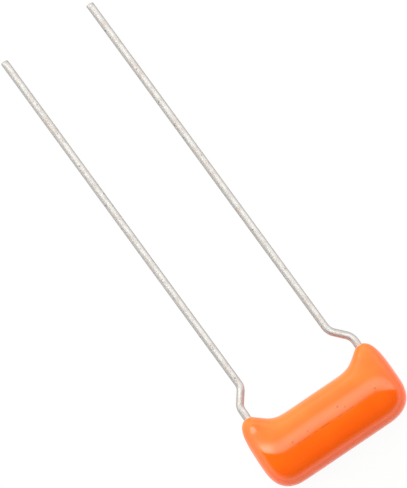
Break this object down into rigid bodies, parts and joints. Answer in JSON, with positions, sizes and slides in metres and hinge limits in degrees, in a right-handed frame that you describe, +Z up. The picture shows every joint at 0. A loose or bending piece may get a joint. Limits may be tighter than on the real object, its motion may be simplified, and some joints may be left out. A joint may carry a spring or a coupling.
{
  "type": "film capacitor",
  "caption": "Film capacitor with a glossy orange dipped epoxy body, ears where the leads leave it, and long tinned wire leads that step inwards for through-hole soldering.",
  "frame": {"origin": "middle of the outline, on the surface that the part lies on", "axes": "+Y along the leads from the body to their tips, +X along the body to the right lead, +Z up through the body's broad side"},
  "size_m": [0.0166, 0.0526, 0.0053],
  "materials": {
    "orange_epoxy": "glossy dipped epoxy, slightly wavy",
    "wound_film": "pressed roll of clear film and bright foil",
    "sprayed_zinc": "dull grainy sprayed metal",
    "solder": "smooth satin solder",
    "tinned_wire": "bright tin with faint drawing lines and scuffs"
  },
  "bodies": {
    "root": {"epoxy_coat": "orange_epoxy", "film_winding": "wound_film", "left_end_contact": "sprayed_zinc", "right_end_contact": "sprayed_zinc", "left_solder_joint": "solder", "right_solder_joint": "solder", "left_lead": "tinned_wire", "right_lead": "tinned_wire"}
  },
  "joints": []
}
